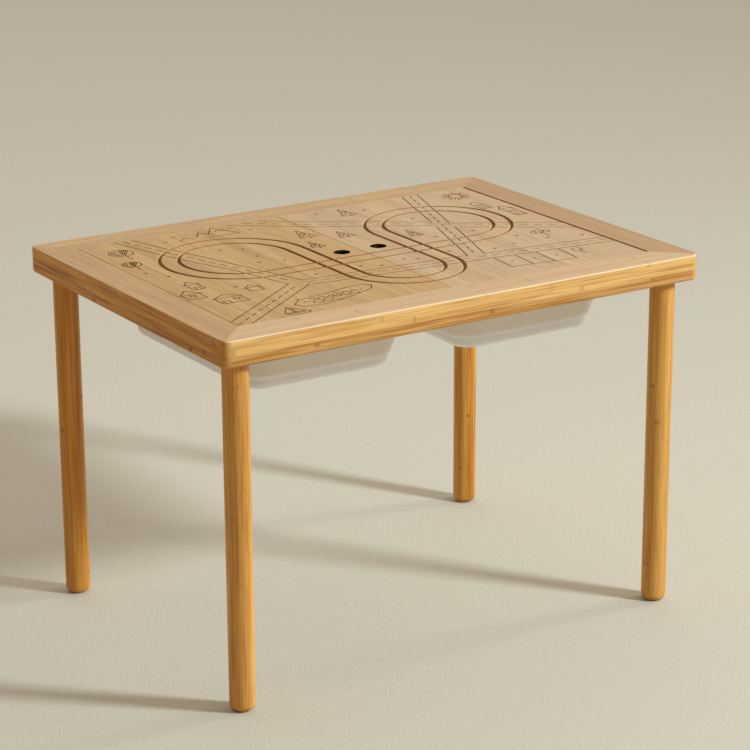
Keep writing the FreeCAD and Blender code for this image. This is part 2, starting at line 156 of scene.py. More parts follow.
# Colours
WHITE = (1.0, 1.0, 1.0, 1)
FLOOR_LOW = (0.50, 0.465, 0.375, 1)
FLOOR_HIGH = (0.545, 0.51, 0.415, 1)
FRAME_LIGHT = (0.88, 0.55, 0.19, 1)
FRAME_DARK = (0.46, 0.19, 0.035, 1)
# End rails: darker and more saturated than the long rails, as painted shade.
END_LIGHT = (0.80, 0.39, 0.065, 1)
END_DARK = (0.38, 0.13, 0.012, 1)
# Painted sheen: paler, pinker colours mixed into the rails' top faces.
FRAME_TOP_SHEEN = (0.57, 0.42, 0.275, 1)
END_TOP_SHEEN = (0.48, 0.345, 0.20, 1)
# Each leg has its own tones, the front right one palest and the others darker and more saturated: painted
# light and shade.
LEG_LIT_AND_SHADED_TONES = {
    "leg_front_left": ((0.82, 0.43, 0.10, 1), (0.48, 0.19, 0.027, 1)),
    "leg_front_right": ((0.90, 0.50, 0.125, 1), (0.55, 0.245, 0.04, 1)),
    "leg_back_left": ((0.75, 0.35, 0.06, 1), (0.43, 0.155, 0.014, 1)),
    "leg_back_right": ((0.76, 0.37, 0.07, 1), (0.41, 0.145, 0.014, 1)),
}
# Painted highlight: a pale line along the front rail's rounded top edge.
EDGE_HIGHLIGHT_COLOUR = (0.90, 0.74, 0.48, 1)
# Board tones: partly their own, partly paled as a painted sheen, the right board more than the left.
LEFT_BOARD_LIGHT = (0.66, 0.42, 0.19, 1)
LEFT_BOARD_DARK = (0.42, 0.235, 0.085, 1)
RIGHT_BOARD_LIGHT = (0.68, 0.475, 0.265, 1)
RIGHT_BOARD_DARK = (0.48, 0.305, 0.145, 1)
# Painted shade and warm bounce on the trays' walls above the step, under the rails.
TRAY_WALL_SHADE = (0.86, 0.79, 0.69, 1)
# Painted shade in the rabbet inside the end rails, where the boards sit.
RABBET_SHADE = (0.42, 0.33, 0.25, 1)
# Grooves' colour: partly scorch of the cut, partly painted shade, deepening downwards.
GROOVE_EDGE_SCORCH_AND_SHADE = (0.65, 0.47, 0.27, 1)
GROOVE_FLOOR_SCORCH_AND_SHADE = (0.42, 0.19, 0.025, 1)
KNUCKLE_TINT = (0.62, 0.5, 0.4, 1)
ENGRAVED_DARK = (0.085, 0.026, 0.004, 1)
ENGRAVED_LIGHT = (0.15, 0.05, 0.009, 1)
CHARRED_DARK = (0.010, 0.006, 0.004, 1)
CHARRED_LIGHT = (0.022, 0.012, 0.007, 1)
PLASTIC_DARK = (0.94, 0.94, 0.935, 1)
PLASTIC_LIGHT = (0.98, 0.98, 0.975, 1)
LEDGE_LIGHT = (0.56, 0.36, 0.17, 1)
LEDGE_DARK = (0.42, 0.25, 0.10, 1)
DOWEL_LIGHT = (0.62, 0.42, 0.22, 1)
DOWEL_DARK = (0.50, 0.32, 0.15, 1)
STEEL_DARK = (0.50, 0.50, 0.52, 1)
STEEL_LIGHT = (0.66, 0.66, 0.67, 1)

# Depths below the table's top between which the painted top sheen, the painted edge highlight, the grooves'
# scorch and painted shade, or the gloss comes in, in metres
TOP_SHEEN_ENDS = (0.0008, 0.0014)
EDGE_HIGHLIGHT_STARTS = (0.0003, 0.0009)
EDGE_HIGHLIGHT_ENDS = (0.0019, 0.0028)
GROOVE_TINT_STARTS = (0.00025, 0.0006)
GROOVE_TINT_DEEPENS = (0.0008, 0.0024)
GLOSS_STARTS = (0.0004, 0.0010)

# Roughness of bamboo
TOP_ROUGHNESS = 0.74
SIDE_ROUGHNESS = 0.44


# ---------------------------------------------------------------- meshes


def smooth(bm):
    """Smooth shading, with sharp edges at corners and round every level face."""
    for face in bm.faces:
        face.smooth = True
    for edge in bm.edges:
        if len(edge.link_faces) != 2:
            edge.smooth = False
            continue
        level = [abs(face.normal.z) > 0.99999 for face in edge.link_faces]
        edge.smooth = level[0] == level[1] and edge.calc_face_angle(0.0) < SMOOTH_LIMIT


def piece(name, bm, body, nodes, materials):
    """A finished object from a mesh in millimetres."""
    bmesh.ops.scale(bm, vec=(MM, MM, MM), verts=bm.verts)
    smooth(bm)
    mesh = bpy.data.meshes.new(name)
    bm.to_mesh(mesh)
    bm.free()
    obj = bpy.data.objects.new(name, mesh)
    bpy.context.scene.collection.objects.link(obj)
    for material in materials:
        mesh.materials.append(material)
    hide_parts(*nodes)
    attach(obj, body)
    return obj


def clean(bm):
    """Joins doubled points, drops faces of no area and turns every normal outwards."""
    bmesh.ops.remove_doubles(bm, verts=bm.verts, dist=WELD)
    bmesh.ops.dissolve_degenerate(bm, edges=bm.edges, dist=WELD)
    bmesh.ops.recalc_face_normals(bm, faces=bm.faces)


def skin(rings):
    """A closed mesh through rings that all have the same number of points, with a face at each end."""
    bm = bmesh.new()
    rows = [[bm.verts.new(point) for point in ring] for ring in rings]
    count = len(rows[0])
    for low, high in zip(rows, rows[1:]):
        for i in range(count):
            j = (i + 1) % count
            bm.faces.new((low[i], low[j], high[j], high[i]))
    bm.faces.new(rows[0])
    bm.faces.new(rows[-1][::-1])
    clean(bm)
    return bm


def arc(centre_x, centre_y, radius, first, sweep, step=ARC_STEP):
    """Points along an arc, angles in degrees."""
    count = max(4, math.ceil(abs(math.radians(sweep)) * radius / step))
    angles = np.radians(first + sweep * np.linspace(0, 1, count + 1))
    return np.column_stack((centre_x + radius * np.cos(angles), centre_y + radius * np.sin(angles)))


# ---------------------------------------------------------------- boards


def track_grooves():
    """Centre lines of the two grooves: two loops, a crossing straight and a U-turn."""
    paths = []
    upright_x = LOOP_X - LOOP_RADIUS
    crossing_y = LOOP_Y - LOOP_RADIUS
    for offset in (-GROOVE_SPACING / 2, GROOVE_SPACING / 2):
        paths.append(arc(-LOOP_X, LOOP_Y, LOOP_RADIUS + offset, 0, 270))
        paths.append(arc(LOOP_X, LOOP_Y, LOOP_RADIUS + offset, -90, 270))
        paths.append(arc(0, TURN_Y, upright_x + offset, 180, 180))
        paths.append(np.array([(-LOOP_X, crossing_y + offset), (LOOP_X, crossing_y + offset)]))
        for side in (-1, 1):
            x = side * upright_x + offset
            paths.append(np.array([(x, TURN_Y), (x, LOOP_Y)]))
    return paths


def unit(vector):
    """The vector at length one."""
    return vector / np.linalg.norm(vector)


def shifted(path, distance):
    """The path moved sideways by a distance, with mitred corners."""
    closed = np.allclose(path[0], path[-1])
    run = np.diff(path, axis=0)
    run /= np.linalg.norm(run, axis=1)[:, None]
    side = np.column_stack((-run[:, 1], run[:, 0]))
    before = np.vstack((side[-1:] if closed else side[:1], side))
    after = np.vstack((side, side[:1] if closed else side[-1:]))
    middle = before + after
    length = np.linalg.norm(middle, axis=1)[:, None]
    middle = np.where(length > 0.4, middle / np.maximum(length, 1e-9), after)
    stretch = np.clip(1 / np.maximum((middle * after).sum(axis=1), 0.4), 1, 2.5)[:, None]
    return path + distance * middle * stretch


class Plan:
    """Points and edges that the triangulation of a board must follow, inside a rectangle."""

    def __init__(self, low, high):
        self.low = np.array(low)
        self.high = np.array(high)
        self.points = []
        self.edges = []

    def add(self, path):
        """Adds the stretches of a path that come near the rectangle."""
        starts, ends = path[:-1], path[1:]
        past_low = np.maximum(starts, ends) > self.low - CLIP_MARGIN
        before_high = np.minimum(starts, ends) < self.high + CLIP_MARGIN
        near = np.all(past_low & before_high, axis=1)
        for start, end, keep in zip(starts, ends, near):
            if keep:
                base = len(self.points)
                self.points += [Vector(start), Vector(end)]
                self.edges.append((base, base + 1))

    def add_band(self, path, profile, capped):
        """Adds a path and its parallels at the profile's distances, closed beyond its ends if capped."""
        widest = profile[-1][0]
        for distance, _ in profile[:-1]:
            for side in ((1,) if distance == 0 else (-1, 1)):
                self.add(shifted(path, side * distance))
        if not capped or np.allclose(path[0], path[-1]):
            self.add(shifted(path, -widest))
            self.add(shifted(path, widest))
            return
        longer = path.copy()
        longer[0] -= widest * unit(path[1] - path[0])
        longer[-1] += widest * unit(path[-1] - path[-2])
        left, right = shifted(longer, -widest), shifted(longer, widest)
        self.add(np.vstack((left, right[::-1], left[:1])))

    def triangles(self):
        """Points and triangles, with every edge kept."""
        points, _, faces, *_ = delaunay_2d_cdt(self.points, self.edges, [], 0, WELD, False)
        return np.array([tuple(point) for point in points]), np.array(faces)


def segments_of(paths):
    """Starts and ends of all the segments of the paths."""
    starts = np.vstack([path[:-1] for path in paths])
    ends = np.vstack([path[1:] for path in paths])
    return starts, ends


def distance_to(points, segments):
    """Shortest distance from each point to any of the segments."""
    starts, ends = segments
    run = ends - starts
    squared = np.maximum((run**2).sum(axis=1), 1e-12)
    nearest = []
    for block in np.array_split(points, max(1, len(points) // 400)):
        away = block[:, None, :] - starts[None]
        share = np.clip((away * run[None]).sum(axis=2) / squared, 0, 1)
        gap = away - share[..., None] * run[None]
        nearest.append(np.sqrt((gap**2).sum(axis=2).min(axis=1)))
    return np.concatenate(nearest)


def depth_at(distances, profile):
    """Depth of a cut at distances from its middle."""
    return np.interp(distances, [d for d, _ in profile], [z for _, z in profile])


def rectangle(low, high, inset=0.0):
    """A closed path round a rectangle."""
    x0, y0 = low[0] + inset, low[1] + inset
    x1, y1 = high[0] - inset, high[1] - inset
    return np.array([(x0, y0), (x1, y0), (x1, y1), (x0, y1), (x0, y0)])


def board_plan(low, high, hole, grooves, lines):
    """Points and triangles of a board's top, with an edge along every line of its relief."""
    plan = Plan(low, high)
    for inset, _ in EDGE_PROFILE:
        plan.add(rectangle(low, high, inset))
    for ease, _ in EDGE_PROFILE:
        plan.add(arc(*hole, HOLE_RADIUS + ease, 0, 360, FINE_STEP))
    for path in grooves:
        plan.add_band(path, GROOVE_PROFILE, capped=False)
    for path in lines:
        plan.add_band(path, LINE_PROFILE, capped=True)
    return plan.triangles()


def board_depths(points, low, high, hole, groove_segments, line_segments):
    """How far each point of a board's top lies below its face."""
    to_edge = np.minimum(points - low, high - points).min(axis=1)
    to_hole = np.linalg.norm(points - hole, axis=1) - HOLE_RADIUS
    return np.maximum.reduce(
        [
            depth_at(distance_to(points, groove_segments), GROOVE_PROFILE),
            depth_at(distance_to(points, line_segments), LINE_PROFILE),
            depth_at(to_edge, EDGE_PROFILE),
            depth_at(to_hole, EDGE_PROFILE),
        ]
    )


def relief_board(name, node, hole_x, grooves, lines, body, materials):
    """A board with its grooves, engraved lines, finger hole and eased edges cut as real relief."""
    low, high = (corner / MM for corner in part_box(node))
    low_xy, high_xy = np.array(low.xy), np.array(high.xy)
    hole = np.array((hole_x, HOLE_Y))
    groove_segments = segments_of(grooves)
    line_segments = segments_of(lines)
    points, faces = board_plan(low_xy, high_xy, hole, grooves, lines)
    depth = board_depths(points, low_xy, high_xy, hole, groove_segments, line_segments)

    middles = points[faces].mean(axis=1)
    inside = np.all((middles > low_xy) & (middles < high_xy), axis=1)
    polygon_share = math.cos(math.pi / math.ceil(2 * math.pi * HOLE_RADIUS / FINE_STEP))
    inside &= np.linalg.norm(middles - hole, axis=1) > HOLE_RADIUS * polygon_share
    faces, middles = faces[inside], middles[inside]
    kinds = np.zeros(len(faces), int)
    kinds[distance_to(middles, line_segments) < LINE_PROFILE[-1][0]] = ENGRAVED
    kinds[distance_to(middles, groove_segments) < GROOVE_PROFILE[-2][0]] = GROOVED

    bm = bmesh.new()
    verts = {i: bm.verts.new((*points[i], high.z - depth[i])) for i in np.unique(faces)}
    for corners, kind in zip(faces, kinds):
        face = bm.faces.new([verts[i] for i in corners])
        face.material_index = int(kind)
    close_board(bm, low, high, Vector(hole))
    return piece(name, bm, body, [node], materials)


def lowered(vert, low, high, hole, z, inset):
    """Where a point of the rim goes at height z, set into the wood by inset."""
    away = Vector(vert.co.xy) - hole
    if away.length < 2 * HOLE_RADIUS:
        x, y = hole + away * (1 + inset / away.length)
    else:
        x = min(max(vert.co.x, low.x + inset), high.x - inset)
        y = min(max(vert.co.y, low.y + inset), high.y - inset)
    return x, y, z


def wall(bm, rim, made, hole):
    """Faces from a rim down to the points made below it. Returns the rim of those points."""
    next_rim = []
    for edge in rim:
        a, b = edge.verts
        if (made[a].co - made[b].co).length < 1e-5:
            bm.faces.new((a, b, made[a]))
            continue
        face = bm.faces.new((a, b, made[b], made[a]))
        if (Vector(a.co.xy) - hole).length < 2 * HOLE_RADIUS:
            face.material_index = CHARRED
        next_rim.append(bm.edges.get((made[a], made[b])))
    return next_rim


def underside(bm, rim, verts, hole, z):
    """The level face inside the lowest rim, left open at the finger hole."""
    index = {vert: i for i, vert in enumerate(verts)}
    points = [Vector(vert.co.xy) for vert in verts]
    edges = [(index[edge.verts[0]], index[edge.verts[1]]) for edge in rim]
    flat, _, faces, *_ = delaunay_2d_cdt(points, edges, [], 0, WELD, False)
    under = [bm.verts.new((*point, z)) for point in flat]
    for corners in faces:
        middle = sum((Vector(flat[i]) for i in corners), Vector((0, 0))) / len(corners)
        if (middle - hole).length > HOLE_RADIUS + EDGE_PROFILE[0][1] / 2:
            bm.faces.new([under[i] for i in corners])


def close_board(bm, low, high, hole):
    """Walls down from the open edges of a board's top, an eased lower edge and the underside."""
    ease = EDGE_PROFILE[0][1]
    rim = [edge for edge in bm.edges if edge.is_boundary]
    for z, inset in ((low.z + ease, 0.0), (low.z, ease)):
        made = {}
        for edge in rim:
            for vert in edge.verts:
                if vert not in made:
                    made[vert] = bm.verts.new(lowered(vert, low, high, hole, z, inset))
        rim = wall(bm, rim, made, hole)
    underside(bm, rim, list(made.values()), hole, low.z)
    clean(bm)


# ---------------------------------------------------------------- engraved scenery


def line(*points):
    """A path through points on the scenery's grid."""
    return np.array(points, float) * SCENERY_UNIT


def ring(x, y, radius, first=0, sweep=360):
    """A circle or an arc on the scenery's grid."""
    return arc(x, y, radius, first, sweep, FINE_STEP) * SCENERY_UNIT


def dashes(*points, dash=11.0, gap=9.0):
    """Dashes along a path on the scenery's grid."""
    paths = []
    for start, end in zip(points, points[1:]):
        start, end = np.array(start, float), np.array(end, float)
        length = np.linalg.norm(end - start)
        run = (end - start) / length
        for k in range(int((length + gap) // (dash + gap))):
            begin = start + run * k * (dash + gap)
            paths.append(line(begin, begin + run * dash))
    return paths


def roads():
    """Road edges, and the dashes down their middles."""
    paths = [
        line((-252, 208), (-228, 120), (-207, 56), (-188, 9), (-162, -86)),
        line((-227, 207), (-209, 144), (-181, 60), (-160, -13), (-139, -80)),
        line((-302, -191), (-162, -87)),
        line((-284, -209), (-140, -101)),
        line((-139, -81), (0, -91), (97, -98)),
        line((122, -103), (298, -120)),
        line((-137, -104), (0, -116), (115, -126), (298, -143)),
        line((197, 207), (153, 67)),
        line((145, 43), (97, -100)),
        line((222, 207), (172, 53)),
        line((166, 30), (121, -103)),
        line((-35, 203), (1, 172), (77, 125), (150, 72)),
        line((175, 50), (298, -28)),
        line((-85, 208), (8, 136), (66, 102), (143, 54)),
        line((171, 26), (298, -58)),
    ]
    paths += dashes((-239, 204), (-218, 132), (-194, 58), (-174, -2), (-150, -83))
    paths += dashes((-300, -205), (-151, -94))
    paths += dashes((-138, -92), (0, -103), (106, -112), (298, -131))
    paths += dashes((209, 205), (109, -101))
    paths += dashes((-60, 204), (4, 154), (72, 113), (146, 63), (298, -43))
    return paths


def pine(x, apex_y, width, height):
    """A pine: its outline, a short trunk and zigzag tiers inside."""
    base = apex_y - height
    half = width / 2
    foot = base + 0.16 * height
    paths = [
        line((x - half, foot), (x, apex_y), (x + half, foot), (x - half, foot)),
        line((x, foot), (x, base)),
    ]
    for share in (0.42, 0.66):
        y = apex_y - share * height
        reach = half * share * 0.75
        bend = reach / 3
        paths.append(line((x - reach, y - 2), (x - bend, y + 3), (x + bend, y - 3), (x + reach, y + 2)))
    return paths


def house(left, right, eave, base, apex_x, apex_y):
    """A gabled front: walls, floor and roof."""
    return [
        line((left, eave), (left, base), (right, base), (right, eave)),
        line((left - 3, eave - 1), (apex_x, apex_y), (right + 3, eave - 1)),
        line((left, eave), (right, eave)),
    ]


def opening(left, right, low, high):
    """A door or a window."""
    return line((left, low), (right, low), (right, high), (left, high), (left, low))


def round_tree(x, y, radius, trunk):
    """A round tree whose right half is hatched."""
    paths = [ring(x, y, radius), line((x, y + radius * 0.5), (x, y - radius - trunk))]
    paths += [ring(x, y, radius * share, 105, 150) for share in (0.5, 0.75)]
    for share in (-0.8, -0.5, -0.2, 0.1, 0.4):
        reach = math.sqrt(1 - (0.54 * share) ** 2) - 0.84 * share
        start = np.array((x, y + radius * share))
        paths.append(line(start, start + radius * reach * np.array((0.54, 0.84))))
    return paths


def birds(*places):
    """Small open ticks."""
    return [line((x - 2.4, y + 1.2), (x - 0.4, y - 1.4), (x + 3.0, y + 2.2)) for x, y in places]


def wave(x, y, length, count):
    """A wavy line made of half circles."""
    step = length / count
    points = []
    for k in range(count):
        angles = np.linspace(math.pi, 0, 5) if k % 2 == 0 else np.linspace(math.pi, 2 * math.pi, 5)
        middle = x + (k + 0.5) * step
        points += [(middle + step / 2 * math.cos(a), y + step / 3 * math.sin(a)) for a in angles[:-1]]
    points.append((x + length, y))
    return line(*points)


def left_scenery():
    """Trees, mountains, houses, a pond and a boat."""
    paths = round_tree(-268, 157, 16, 18) + round_tree(-282, 100, 12.5, 12)
    paths += [
        line((-176, 167), (-162, 178), (-155, 168)),
        line((-147, 175), (-135, 193), (-130, 183), (-124, 172)),
        line((-127, 180), (-110, 205), (-87, 164), (-138, 164)),
        line((-120, 190), (-114, 185), (-109, 190), (-103, 185), (-99, 189)),
    ]
    paths += pine(-23, 129, 25, 43) + pine(-38, 71, 20, 33)
    paths += house(-272, -256, -24, -47, -264, -10) + [opening(-267, -261, -47, -36)]
    paths += house(-298, -274, -62, -83, -286, -45) + [opening(-290, -283, -73, -66)]
    paths += house(-272, -237, -97, -121, -253, -83)
    paths += [opening(-268, -260, -121, -109), opening(-250, -243, -110, -103)]
    paths += house(-216, -198, -75, -90, -207, -65)
    paths.append(
        line(
            (-203, -170), (-190, -157), (-168, -151), (-140, -147), (-112, -139), (-88, -138),
            (-79, -147), (-88, -160), (-118, -172), (-142, -181), (-172, -187), (-197, -182), (-203, -170),
        )
    )
    paths += [
        wave(-176, -160, 40, 6),
        wave(-140, -156, 40, 6),
        wave(-188, -168, 42, 6),
        wave(-148, -165, 40, 6),
        wave(-180, -177, 40, 6),
    ]
    paths += [
        line((-218, -175), (-218, -198), (-232, -196), (-218, -175)),
        line((-215, -178), (-203, -196), (-215, -197), (-215, -178)),
        line((-232, -200), (-198, -200), (-204, -206), (-227, -206), (-232, -200)),
    ]
    paths += birds(
        (-287, 53), (-269, 26), (-194, 174), (-174, 190), (-89, 190), (-68, 170), (-154, 99), (-127, 88),
        (-129, 48), (-142, 20), (-109, 12), (-223, -62), (-111, -68), (-43, -66), (-20, -78), (-190, -153),
    )
    return paths


def right_scenery():
    """Trees, the sun, towers and a car park."""
    paths = pine(21, 97, 23, 36) + pine(84, 197, 23, 42) + pine(101, 52, 19, 36)
    paths.append(ring(262, 170, 9))
    for k in range(20):
        angle = 2 * math.pi * k / 20
        reach = 22 if k % 2 == 0 else 17.5
        ray = np.array((math.cos(angle), math.sin(angle)))
        paths.append(line(ray * 11 + (262, 170), ray * reach + (262, 170)))
    paths += [
        line((253, 119), (253, 90), (269, 90), (269, 119)),
        ring(261, 119, 8, 0, 180),
        opening(258, 264, 90, 101),
        opening(258, 264, 107, 113),
    ]
    paths += house(272, 289, 76, 36, 280, 90)
    paths += [opening(277, 284, 36, 48), opening(277, 284, 56, 64)]
    paths += [
        line((245, -75), (245, -50)),
        line((245, -62), (236, -54)),
        line((245, -58), (255, -49)),
        ring(237, -52, 5, 40, 240),
        ring(246, -48, 6, -20, 220),
        ring(254, -54, 5, -120, 230),
    ]
    paths += [
        line((119, -127), (114, -174)),
        line((150, -129), (145, -176)),
        line((181, -132), (176, -180)),
        line((214, -137), (208, -185)),
        line((114, -174), (208, -185)),
    ]
    paths += [ring(x, y, 1.2) for x, y in ((130, -152), (162, -156), (194, -160))]
    paths += [ring(232, -152, 6.5), line((232, -158), (232, -173))]
    paths += birds(
        (46, 191), (114, 175), (143, 98), (116, 2), (175, 1), (20, -67), (35, -77), (90, -68),
        (147, -90), (181, -83), (208, -52), (236, -83), (283, -96),
    )
    return paths


# ---------------------------------------------------------------- rails, legs and trays


def rail_section(shrink=0.0):
    """(distance in from the outer face, height) round a rail's section, smaller all round by shrink."""
    inner = RAIL_WIDTH
    depth = RAIL_WIDTH + SHOULDER
    top = TABLE_TOP - shrink
    bottom = FRAME_BOTTOM + shrink
    points = []
    for step in range(7):
        angle = math.pi / 2 * step / 6
        radius = BOTTOM_ROUNDING
        points.append((shrink + radius * (1 - math.sin(angle)), bottom + radius * (1 - math.cos(angle))))
    for step in range(6):
        angle = math.pi / 2 * step / 5
        radius = TOP_ROUNDING
        points.append((shrink + radius * (1 - math.cos(angle)), top - radius * (1 - math.sin(angle))))
    points += [
        (inner - INNER_EASING - shrink, top),
        (inner - 0.3 * INNER_EASING - shrink, top - 0.3 * INNER_EASING),
        (inner - shrink, top - INNER_EASING),
        (inner - shrink, BOARD_BOTTOM - shrink),
        (depth - INNER_EASING - shrink, BOARD_BOTTOM - shrink),
        (depth - shrink, BOARD_BOTTOM - INNER_EASING - shrink),
        (depth - shrink, bottom + INNER_EASING),
        (depth - INNER_EASING - shrink, bottom),
    ]
    return points


def rail(half_run, half_across, place):
    """A mitred rail. Place turns (along the rail, outwards, up) into the table's coordinates."""
    steps = ROUNDING_STEPS
    stations = [(-1, 45.0 * (1 - k / steps), k) for k in range(steps + 1)]
    stations += [(1, 45.0 * k / steps, steps - k) for k in range(steps + 1)]
    rings = []
    for side, degrees, from_mitre in stations:
        angle = math.radians(degrees)
        points = []
        for inset, z in rail_section(MITRE_EASING if from_mitre == 0 else 0.0):
            shift = min(from_mitre, 1) * MITRE_EASING
            if inset < CORNER_RADIUS:
                radius = CORNER_RADIUS - inset
                along = half_run - CORNER_RADIUS + radius * math.sin(angle)
                out = half_across - CORNER_RADIUS + radius * math.cos(angle)
            else:
                along = half_run - inset - shift
                out = half_across - inset
            points.append(place(side * along, out, z))
        rings.append(points)
    return skin(rings)


def rounded_ring(half_x, half_y, corner, x, y, z):
    """A level ring: a rectangle with round corners."""
    points = []
    for k, (side_x, side_y) in enumerate(((1, 1), (-1, 1), (-1, -1), (1, -1))):
        centre_x, centre_y = side_x * (half_x - corner), side_y * (half_y - corner)
        turn = arc(centre_x, centre_y, corner, 90 * k, 90, corner * CORNER_STEP_SHARE)
        points += [(x + px, y + py, z) for px, py in turn]
    return points


def tray_side(base, rim, inset):
    """(height, growth from the shoulder's outline, corner radius) up the tray's side."""
    rounding = TRAY_BASE_ROUNDING - inset
    shoulder = base + TRAY_BASE_ROUNDING
    rows = []
    for step in range(ROUNDING_STEPS + 1):
        angle = math.pi / 2 * step / ROUNDING_STEPS
        growth = -inset - TRAY_STEP - rounding * (1 - math.sin(angle))
        rows.append((shoulder - rounding * math.cos(angle), growth, TRAY_SHOULDER_CORNER + growth))
    widening = (TRAY_RIM_CORNER - TRAY_SHOULDER_CORNER) / (rim - shoulder)
    step_z = base + TRAY_STEP_HEIGHT
    slope = TRAY_STEP_SLOPE_HEIGHT
    heights = (
        (step_z - 0.4, TRAY_STEP),
        (step_z + 0.2 * slope, 0.85 * TRAY_STEP),
        (step_z + 0.8 * slope, 0.15 * TRAY_STEP),
        (step_z + slope + 0.4, 0.0),
        (rim - TRAY_FLANGE_THICKNESS - 1.5, 0.0),
    )
    for z, set_in in heights:
        rise = z - shoulder
        corner = TRAY_SHOULDER_CORNER + rise * widening - inset - set_in
        rows.append((z, rise * TRAY_DRAFT - inset - set_in, corner))
    return rows


def tray(name, node, body, material):
    """A thin tray that hangs by a rounded flange."""
    low, high = (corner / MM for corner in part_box(node))
    x, y = (low.x + high.x) / 2, (low.y + high.y) / 2
    half_x, half_y = (high.x - low.x) / 2, (high.y - low.y) / 2
    shoulder_x, shoulder_y = TRAY_SHOULDER_HALF
    rim = high.z
    inner = tray_side(low.z, rim, TRAY_WALL)
    outer = tray_side(low.z, rim, 0.0)
    rows = [(shoulder_x + g, shoulder_y + g, corner, z) for z, g, corner in inner]
    top_x, top_y, top_corner, _ = rows[-1]
    for out, drop in TRAY_RIM_ROLL:
        rows.append((top_x + out, top_y + out, top_corner + out, rim - drop))
    for back, drop in TRAY_FLANGE_EDGE:
        rows.append((half_x - back, half_y - back, TRAY_FLANGE_CORNER - back, rim - drop))
    under_flange = rim - TRAY_FLANGE_THICKNESS
    out_z, out_growth, out_corner = outer[-1]
    grown = out_growth + (under_flange - out_z) * TRAY_DRAFT
    for out, drop in TRAY_UNDER_FLANGE:
        reach = grown + out
        rows.append((shoulder_x + reach, shoulder_y + reach, out_corner + out, under_flange - drop))
    rows += [(shoulder_x + g, shoulder_y + g, corner, z) for z, g, corner in reversed(outer)]
    rings = [rounded_ring(a, b, corner, x, y, z) for a, b, corner, z in rows]
    bm = skin(rings)
    return piece(name, bm, body, [node], [material])


def leg(name, node, material):
    """A turned leg with a rounded foot and a small chamfer at the top."""
    low, high = (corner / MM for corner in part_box(node))
    x, y = (low.x + high.x) / 2, (low.y + high.y) / 2
    profile = []
    for step in range(ROUNDING_STEPS + 1):
        angle = math.pi / 2 * step / ROUNDING_STEPS
        radius = LEG_RADIUS - FOOT_ROUNDING * (1 - math.sin(angle))
        profile.append((radius, FOOT_ROUNDING * (1 - math.cos(angle))))
    profile += [
        (LEG_RADIUS, high.z - LEG_TOP_CHAMFER),
        (LEG_RADIUS - LEG_TOP_CHAMFER, high.z),
    ]
    turn = [2 * math.pi * k / LEG_SIDES for k in range(LEG_SIDES)]
    rings = [[(x + r * math.cos(a), y + r * math.sin(a), z) for a in turn] for r, z in profile]
    bm = skin(rings)
    return piece(name, bm, "frame", [node], [material])


# ---------------------------------------------------------------- materials


class Graph:
    """A material's nodes, with short calls for the kinds used here."""

    def __init__(self, name):
        self.material = bpy.data.materials.new(name)
        self.material.use_nodes = True
        self.tree = self.material.node_tree
        self.tree.nodes.clear()
        place = self.add("ShaderNodeTexCoord", output="Object")
        split = self.tree.nodes.new("ShaderNodeSeparateXYZ")
        self.tree.links.new(place, split.inputs[0])
        self.place = place
        self.axis = {"x": split.outputs[0], "y": split.outputs[1], "z": split.outputs[2]}

    def add(self, kind, inputs=None, output=0, **settings):
        """A node of that kind, and one of its outputs."""
        node = self.tree.nodes.new(kind)
        for key, value in settings.items():
            setattr(node, key, value)
        for key, value in (inputs or {}).items():
            self.connect(node.inputs[key], value)
        return node.outputs[output]

    def connect(self, socket, value):
        if isinstance(value, bpy.types.NodeSocket):
            self.tree.links.new(value, socket)
        else:
            socket.default_value = value

    def math(self, operation, *values):
        return self.add("ShaderNodeMath", dict(enumerate(values)), operation=operation)

    def vector(self, x, y, z):
        return self.add("ShaderNodeCombineXYZ", {0: x, 1: y, 2: z})

    def noise(self, vector, scale=1.0, detail=3.0, roughness=0.5):
        inputs = {"Vector": vector, "Scale": scale, "Detail": detail, "Roughness": roughness}
        return self.add("ShaderNodeTexNoise", inputs)

    def grain(self, along, across, through, length_scale, width_scale, slip=0.0, detail=3.0):
        """Noise stretched along the grain, and moved through the layers by slip."""
        place = self.vector(
            self.math("MULTIPLY", along, length_scale),
            self.math("MULTIPLY", across, width_scale),
            self.math("ADD", self.math("MULTIPLY", through, width_scale), slip),
        )
        return self.noise(place, detail=detail)

    def random(self, vector):
        return self.add("ShaderNodeTexWhiteNoise", {"Vector": vector}, noise_dimensions="3D")

    def mapped(self, value, low, high, to_low, to_high):
        """The value's range carried over to another range, and held at its ends."""
        return self.add("ShaderNodeMapRange", {0: value, 1: low, 2: high, 3: to_low, 4: to_high})

    def mix(self, factor, a, b, blend="MIX"):
        inputs = {0: factor, 6: a, 7: b}
        return self.add("ShaderNodeMix", inputs, output=2, data_type="RGBA", blend_type=blend)

    def shade(self, colour, factor):
        """The colour made darker or lighter by a factor."""
        grey = self.vector(factor, factor, factor)
        return self.mix(1.0, colour, grey, "MULTIPLY")

    def finish(self, inputs, height=None, bump=0.0):
        """The surface shader, with a bump from height in metres."""
        shader = self.tree.nodes.new("ShaderNodeBsdfPrincipled")
        for key, value in inputs.items():
            self.connect(shader.inputs[key], value)
        if height is not None:
            normal = self.add("ShaderNodeBump", {"Strength": 0.6, "Distance": bump, "Height": height})
            self.tree.links.new(normal, shader.inputs["Normal"])
        output = self.tree.nodes.new("ShaderNodeOutputMaterial")
        self.tree.links.new(shader.outputs[0], output.inputs["Surface"])
        return self.material


